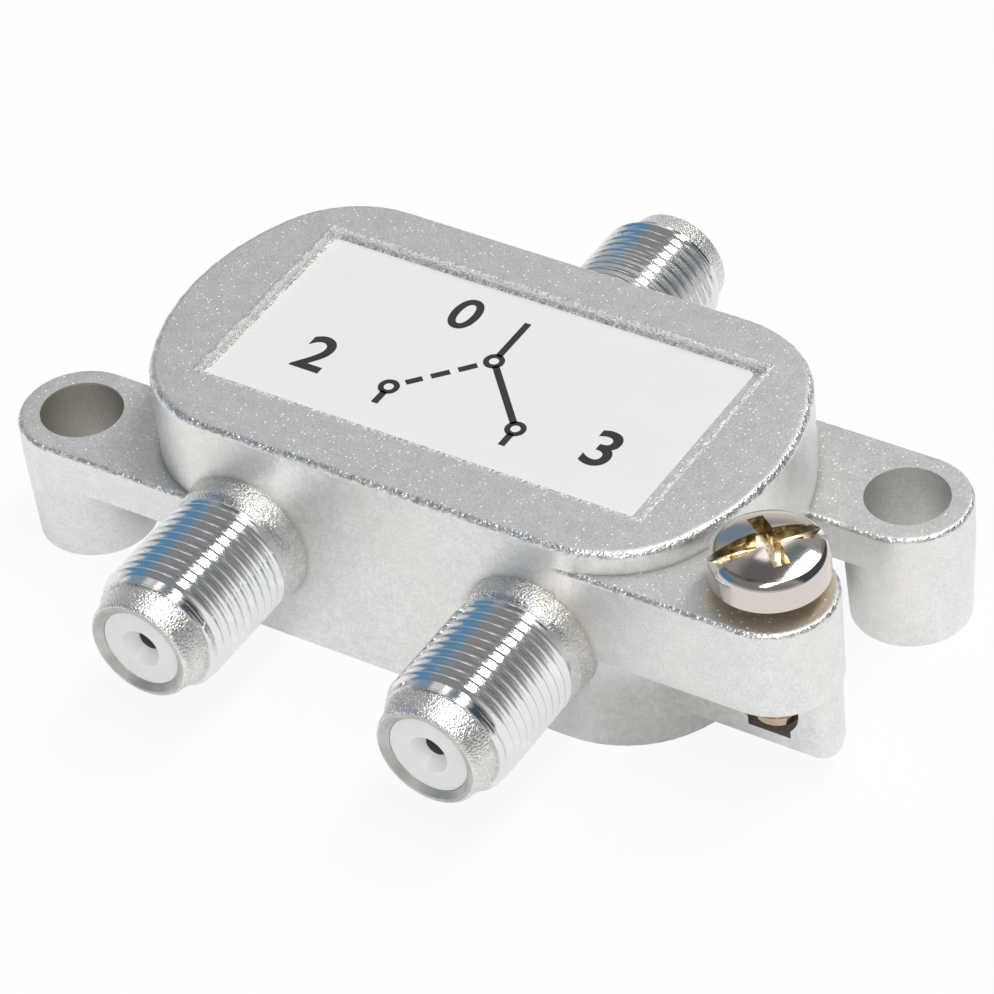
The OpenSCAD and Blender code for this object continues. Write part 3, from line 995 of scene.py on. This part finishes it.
@dataclass
class Sticker:
    """Label in the recess, with plain numbers and a changeover symbol. Sizes in millimetres."""

    finishes: Finishes
    ink: float = 0.02
    numbers: tuple[tuple[str, float, float, float], ...] = (
        ("0", -4.4, 5.3, 3.2),
        ("2", -11.3, -2.8, 3.6),
        ("3", 11.3, -2.8, 3.6),
    )
    contacts: tuple[tuple[float, float], ...] = ((0.0, 2.0), (-5.0, -3.4), (5.0, -3.4))
    stubs: tuple[float, ...] = (3.9, -1.3, -1.3)
    dashes: tuple[tuple[float, float], ...] = ((0.16, 0.34), (0.42, 0.60), (0.68, 0.84))
    ring_radius: float = 0.75
    ring_line: float = 0.4
    ring_steps: int = 40
    line: float = 0.5
    figure_height: float = 0.72
    boldness: float = 0.022
    figure_join: float = 1e-4

    def build(self) -> list[bpy.types.Object]:
        """Makes the sticker and its print.

        Returns:
            The pieces.
        """
        paper = new_piece(solid_of("label"), "label_sticker")
        even_normals(paper)
        dress(paper, [self.finishes.of(Finish.STICKER)])
        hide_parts("label")
        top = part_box("label")[1].z
        prints = [self.number(*number) for number in self.numbers] + [self.symbol()]
        for piece in prints:
            piece.data.transform(Matrix.Translation((0, 0, top)))
            dress(piece, [self.finishes.of(Finish.INK)])
        for piece in [paper, *prints]:
            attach(piece, BOX)
        return [paper, *prints]

    def number(self, text: str, x: float, y: float, height: float) -> bpy.types.Object:
        """Prints a plain number.

        Args:
            text: the number.
            x: middle of the number along the label.
            y: middle of the number across the label.
            height: height of its figures.

        Returns:
            The piece, lying on z = 0.
        """
        curve = bpy.data.curves.new(f"number_{text}", "FONT")
        curve.body = text
        curve.size = height / self.figure_height
        curve.offset = height * self.boldness
        curve.align_x = "CENTER"
        curve.align_y = "CENTER"
        writing = bpy.data.objects.new(curve.name, curve)
        bpy.context.scene.collection.objects.link(writing)
        shown = writing.evaluated_get(bpy.context.evaluated_depsgraph_get())
        flat = bpy.data.meshes.new_from_object(shown)
        bpy.data.objects.remove(writing)
        shape = bmesh.new()
        shape.from_mesh(flat)
        bpy.data.meshes.remove(flat)
        bmesh.ops.remove_doubles(shape, verts=shape.verts, dist=self.figure_join)
        spot = Matrix.Translation((x * MM, y * MM, 0)) @ Matrix.Scale(MM, 4)
        bmesh.ops.transform(shape, matrix=spot, verts=shape.verts)
        self.thicken(shape)
        return new_piece(shape, f"label_number_{text}")

    def thicken(self, shape: bmesh.types.BMesh) -> None:
        """Gives flat print its thickness and closes it."""
        sheet = list(shape.faces)
        raised = bmesh.ops.extrude_face_region(shape, geom=sheet)["geom"]
        verts = [item for item in raised if isinstance(item, bmesh.types.BMVert)]
        bmesh.ops.translate(shape, vec=(0, 0, self.ink * MM), verts=verts)
        bmesh.ops.recalc_face_normals(shape, faces=shape.faces)

    def bar(self, shape: bmesh.types.BMesh, start: Vector, end: Vector) -> None:
        """Adds a flat line between two points."""
        way = (end - start) * MM
        middle = (start + end) * (0.5 * MM)
        turn = Matrix.Rotation(math.atan2(way.y, way.x), 4, "Z")
        size = Matrix.Diagonal((way.length, self.line * MM, 1.0, 1.0))
        place = Matrix.Translation((middle.x, middle.y, 0))
        bmesh.ops.create_grid(shape, x_segments=1, y_segments=1, size=0.5, matrix=place @ turn @ size)

    def ring(self, shape: bmesh.types.BMesh, middle: Vector) -> None:
        """Adds a flat ring about a point."""
        place = Matrix.Translation((middle.x * MM, middle.y * MM, 0))
        rims = []
        for radius in (self.ring_radius, self.ring_radius - self.ring_line):
            made = bmesh.ops.create_circle(shape, segments=self.ring_steps, radius=radius * MM, matrix=place)
            rims += list({edge for vert in made["verts"] for edge in vert.link_edges})
        bmesh.ops.bridge_loops(shape, edges=rims)

    def symbol(self) -> bpy.types.Object:
        """Prints a changeover symbol: a closed contact to one side and an open one to the other.

        Returns:
            The piece, lying on z = 0.
        """
        shape = bmesh.new()
        common, left, right = (Vector(point) for point in self.contacts)
        for middle in (common, left, right):
            self.ring(shape, middle)
        gap = self.ring_radius - 0.5 * self.ring_line
        for middle, stub in zip((common, left, right), self.stubs):
            start = Vector((0, math.copysign(gap, stub)))
            self.bar(shape, middle + start, middle + start + Vector((0, stub)))
        slope = (right - common).normalized()
        self.bar(shape, common + slope * gap, right - slope * gap)
        back = left - common
        for start, end in self.dashes:
            self.bar(shape, common + back * start, common + back * end)
        self.thicken(shape)
        return new_piece(shape, "label_symbol")


@dataclass
class Insulators:
    """White insulators in the ports."""

    finishes: Finishes
    nodes: tuple[str, ...] = ("insulator_in", "insulator_out_1", "insulator_out_2")
    throat: float = 0.81
    sharp: float = 25.0

    def build(self) -> list[bpy.types.Object]:
        """Copies the insulators with smooth funnels.

        Returns:
            The pieces.
        """
        pieces = []
        for name, port in zip(self.nodes, PORTS):
            shape = solid_of(name)
            for face in shape.faces:
                reach = max(port.along(vert.co)[1] for vert in face.verts)
                face.material_index = int(reach < self.throat)
            piece = new_piece(shape, f"{name}_bush", self.sharp)
            dress(piece, [self.finishes.of(Finish.INSULATOR), self.finishes.of(Finish.THROAT)])
            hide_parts(name)
            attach(piece, BOX)
            pieces.append(piece)
        return pieces


@dataclass
class Inside:
    """Cover, contacts and circuit, which keep their solids and get a finish."""

    finishes: Finishes
    nodes: dict[str, Finish] = field(
        default_factory=lambda: {
            "bottom_cover": Finish.TINPLATE,
            "contact_in": Finish.BRONZE,
            "contact_out_1": Finish.BRONZE,
            "contact_out_2": Finish.BRONZE,
            "circuit_board": Finish.BOARD,
            "choke_cores": Finish.FERRITE,
            "choke_windings": Finish.COPPER,
            "buffer_capacitor": Finish.CAN,
            "supply_transistors": Finish.PACKAGE,
            "control_transistors": Finish.PACKAGE,
            "pin_diodes": Finish.PACKAGE,
            "zener_diodes": Finish.PACKAGE,
            "chip_capacitors": Finish.CERAMIC,
            "chip_resistors": Finish.PACKAGE,
        }
    )

    def build(self) -> list[bpy.types.Object]:
        """Dresses the solids.

        Returns:
            The solids.
        """
        pieces = []
        for name, finish in self.nodes.items():
            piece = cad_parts[name]
            dress(piece, [self.finishes.of(finish)])
            pieces.append(piece)
        return pieces


@dataclass(frozen=True)
class Softbox:
    """Rectangular lamp that faces the object. Sizes in metres."""

    name: str
    direction: tuple[float, float, float]
    distance: float
    size: tuple[float, float]
    radiance: float
    colour: Colour

    def build(self) -> None:
        """Makes the lamp."""
        lamp = bpy.data.lights.new(self.name, "AREA")
        lamp.shape = "RECTANGLE"
        lamp.size, lamp.size_y = self.size
        lamp.energy = self.radiance * math.pi * self.size[0] * self.size[1]
        lamp.color = self.colour
        holder = bpy.data.objects.new(self.name, lamp)
        back = Vector(self.direction).normalized()
        right = Vector((1.0, 0.0, 0.0))
        right = (right - back * right.dot(back)).normalized()
        turn = Matrix((right, back.cross(right), back)).transposed().to_4x4()
        holder.matrix_world = Matrix.Translation(back * self.distance) @ turn
        bpy.context.scene.collection.objects.link(holder)


@dataclass(frozen=True)
class Panel:
    """Long panel of the studio, which runs over the object from front to rear."""

    middle: float
    half: float
    colour: Colour
    near: float
    far: float = 1.0
    soft: float = 6.0
    near_fade: float = 0.1
    far_fade: float = 0.08

    def mask(self, turn: Wire, depth: Wire) -> Wire:
        """Share of the panel in what is seen.

        Args:
            turn: angle from straight up towards the right, in degrees.
            depth: part of the direction towards the rear.

        Returns:
            1 on the panel and 0 beside it.
        """
        away = abs(turn - self.middle)
        across = 1 - away.rise(self.half - self.soft / 2, self.half + self.soft / 2)
        begun = depth.rise(self.near - self.near_fade, self.near)
        return across * begun * (1 - depth.rise(self.far, self.far + self.far_fade))


@dataclass
class Studio:
    """White floor, soft light and the camera of the photograph."""

    azimuth: float = 35.650
    elevation: float = 40.588
    roll: float = -6.148
    distance: float = 350.684
    target: tuple[float, float, float] = (0.0, 0.0, 8.0)
    offset: tuple[float, float] = (0.571, -1.728)
    focal_pixels: float = 5145.809
    frame_pixels: float = 994.0
    floor_size: float = 3.0
    floor_gap: float = 0.02
    floor_tone: Colour = (0.9, 0.9, 0.9)
    white_beyond: tuple[float, float] = (0.03, 0.09)
    white_share: tuple[float, float] = (0.9, 1.0)
    mirrored_share: float = 0.5
    lamp: Softbox = Softbox(
        "long_strip", (0.295, 0.0, 0.955), 1.5, (0.325, 3.25), 9.0, (1.0, 0.985, 0.965)
    )
    horizon: Colour = (0.72, 0.69, 0.64)
    surround: Colour = (0.38, 0.38, 0.38)
    surround_up: tuple[float, float] = (0.05, 0.35)
    zenith: Colour = (0.15, 0.155, 0.16)
    zenith_up: tuple[float, float] = (0.8, 0.94)
    front: Colour = (0.25, 0.255, 0.26)
    front_up: tuple[float, float] = (0.1, 0.4)
    front_depth: tuple[float, float] = (-0.5, 0.0)
    white: Colour = (1.0, 1.0, 1.0)
    panels: tuple[Panel, ...] = (
        Panel(-62.0, 18.0, (0.22, 0.315, 0.40), 0.5, 0.68),
        Panel(-62.0, 18.0, (0.11, 0.26, 0.43), -0.7, -0.1),
        Panel(-36.0, 9.0, (0.72, 0.70, 0.67), 0.3, 0.95),
        Panel(4.0, 9.0, (0.17, 0.21, 0.24), 0.45, 0.7),
        Panel(-17.0, 6.0, (1.4, 1.35, 1.3), 0.3, 0.8, 4.0),
        Panel(60.0, 27.0, (0.06, 0.085, 0.1), 0.0),
    )

    def build(self) -> None:
        """Sets up the whole studio."""
        self.camera()
        self.floor()
        self.world()
        self.lamp.build()
        bpy.context.scene.view_settings.view_transform = "Standard"

    def camera(self) -> None:
        """Puts the camera where the photograph was taken from."""
        az, el, roll = (math.radians(a) for a in (self.azimuth, self.elevation, self.roll))
        back = Vector((math.sin(az) * math.cos(el), -math.cos(az) * math.cos(el), math.sin(el)))
        level = Vector((math.cos(az), math.sin(az), 0.0))
        above = back.cross(level)
        right = math.cos(roll) * level + math.sin(roll) * above
        up = math.cos(roll) * above - math.sin(roll) * level
        place = Vector(self.target) + back * self.distance
        place += right * self.offset[0] + up * self.offset[1]
        lens = bpy.data.cameras.new("photo_camera")
        lens.sensor_width = 36.0
        lens.lens = self.focal_pixels * lens.sensor_width / self.frame_pixels
        lens.clip_start = 0.01
        holder = bpy.data.objects.new("photo_camera", lens)
        turn = Matrix((right, up, back)).transposed().to_4x4()
        holder.matrix_world = Matrix.Translation(place * MM) @ turn
        bpy.context.scene.collection.objects.link(holder)
        bpy.context.scene.camera = holder

    def rays(self, graph: Graph, name: str) -> Wire:
        """1 for rays of one kind, such as those that the camera sends."""
        return graph.node("ShaderNodeLightPath", out=name)

    def floor(self) -> None:
        """Lays the pale floor, which can be seen through from below."""
        shape = bmesh.new()
        bmesh.ops.create_grid(shape, x_segments=1, y_segments=1, size=self.floor_size)
        bmesh.ops.translate(shape, verts=shape.verts, vec=(0.0, 0.0, -self.floor_gap * MM))
        mesh = bpy.data.meshes.new("floor")
        shape.to_mesh(mesh)
        shape.free()
        floor = bpy.data.objects.new("floor", mesh)
        bpy.context.scene.collection.objects.link(floor)
        material, graph = new_graph("white_floor")
        matt = graph.node("ShaderNodeBsdfDiffuse", {}, {"Color": self.floor_tone})
        white = graph.node("ShaderNodeEmission", {}, {"Color": self.white, "Strength": 1.0})
        away = graph.reach(graph.node("ShaderNodeTexCoord", out="Object")).rise(*self.white_beyond)
        mirrored = self.rays(graph, "Is Glossy Ray").most(self.rays(graph, "Is Transmission Ray"))
        seen = self.rays(graph, "Is Camera Ray") * away.span(*self.white_share)
        share = seen + mirrored * self.mirrored_share
        above = graph.node("ShaderNodeMixShader", {}, {0: share, 1: matt, 2: white})
        below = graph.node("ShaderNodeBsdfTransparent")
        back = graph.node("ShaderNodeNewGeometry", out="Backfacing")
        graph.finish(graph.node("ShaderNodeMixShader", {}, {0: back, 1: above, 2: below}))
        mesh.materials.append(material)

    def world(self) -> None:
        """Surrounds the object with a dim studio of long panels, pale towards the horizon."""
        world = bpy.data.worlds.new("studio")
        bpy.context.scene.world = world
        graph = Graph(world)
        x, y, up = graph.axes(graph.node("ShaderNodeTexCoord", out="Generated"))
        turn = graph.math("ARCTAN2", x, up) * math.degrees(1)
        light = graph.blend(self.horizon, self.surround, up.rise(*self.surround_up))
        light = graph.blend(light, self.zenith, up.rise(*self.zenith_up))
        ahead = (1 - y.rise(*self.front_depth)) * up.rise(*self.front_up)
        light = graph.blend(light, self.front, ahead)
        for panel in self.panels:
            light = graph.blend(light, panel.colour, panel.mask(turn, y))
        light = graph.blend(light, self.white, self.rays(graph, "Is Camera Ray"))
        graph.finish(graph.node("ShaderNodeBackground", {}, {"Color": light, "Strength": 1.0}))


def main() -> None:
    """Builds the scene in order."""
    logging.basicConfig(level=logging.INFO, format="%(name)s: %(message)s")
    Studio().build()
    finishes = Finishes()
    for kind in (Casting, GroundScrew, Sticker, Insulators, Inside):
        part = kind(finishes)
        for piece in part.build():
            log.info("%s: %s, %d faces", type(part).__name__, piece.name, len(piece.data.polygons))
    bpy.context.view_layer.update()


if __name__ == "__main__":
    main()
